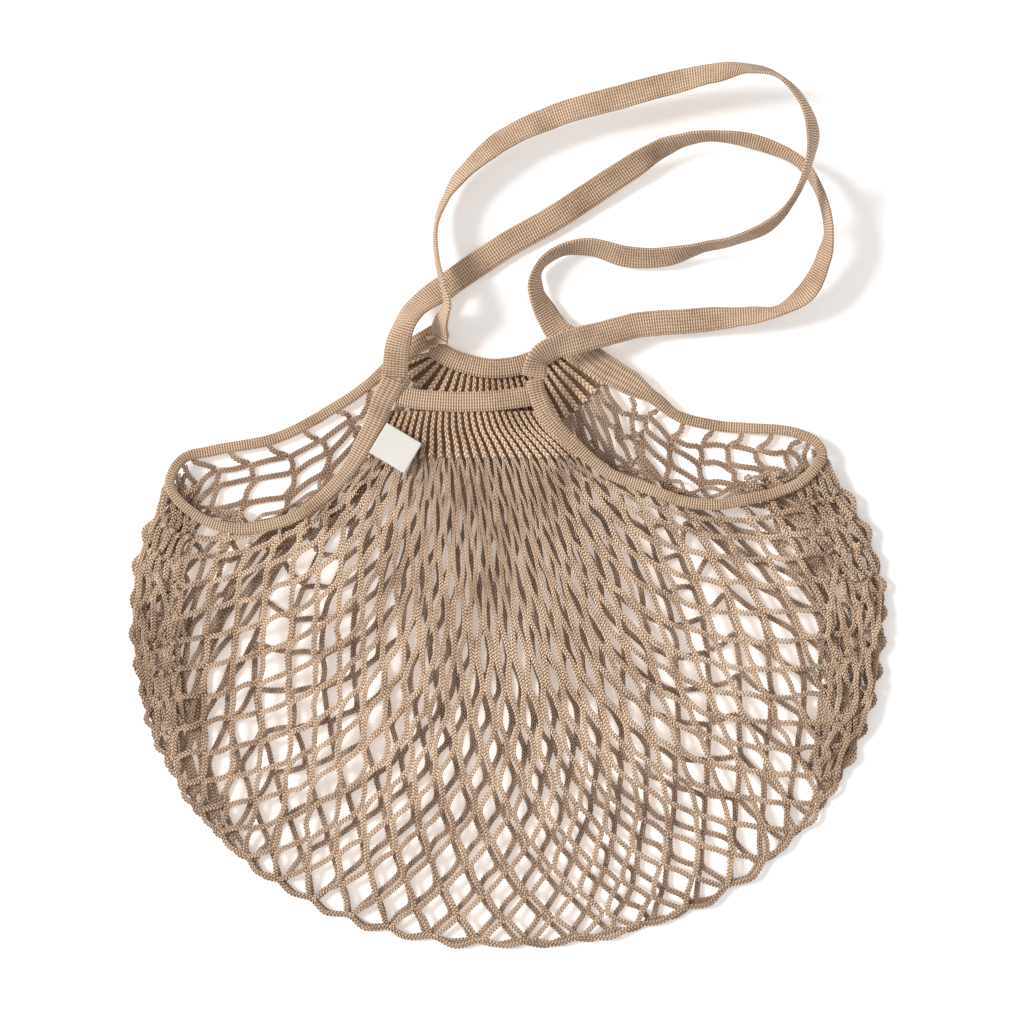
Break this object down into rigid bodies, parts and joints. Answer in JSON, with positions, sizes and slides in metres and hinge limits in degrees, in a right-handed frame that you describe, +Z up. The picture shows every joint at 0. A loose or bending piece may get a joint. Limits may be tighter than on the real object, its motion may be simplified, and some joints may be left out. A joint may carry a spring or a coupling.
{
  "type": "string shopping bag",
  "caption": "Knitted string shopping bag lying flat, with open diamond netting, gathered ribs, a taped mouth and long tape handles.",
  "frame": {"origin": "on the surface the bag lies on, under the middle of the whole bag's box", "axes": "+Z up from the surface, +Y from the bottom fold towards the handles, +X to the right as seen from above"},
  "size_m": [0.4152, 0.4836, 0.0517],
  "materials": {
    "cotton_cord": "matte chain-knitted cotton cord",
    "cotton_rib": "matte knitted cotton rib",
    "cotton_tape": "matte close-knitted cotton tape",
    "label_cloth": "plain woven cloth"
  },
  "bodies": {
    "root": {"net_front": "cotton_cord", "net_back": "cotton_cord", "left_gather": "cotton_cord", "right_gather": "cotton_cord", "front_ribbing": "cotton_rib", "back_ribbing": "cotton_rib", "front_band": "cotton_tape", "back_band": "cotton_tape", "left_mouth_binding": "cotton_tape", "right_mouth_binding": "cotton_tape", "front_handle": "cotton_tape", "back_handle": "cotton_tape", "label": "label_cloth"}
  },
  "joints": []
}
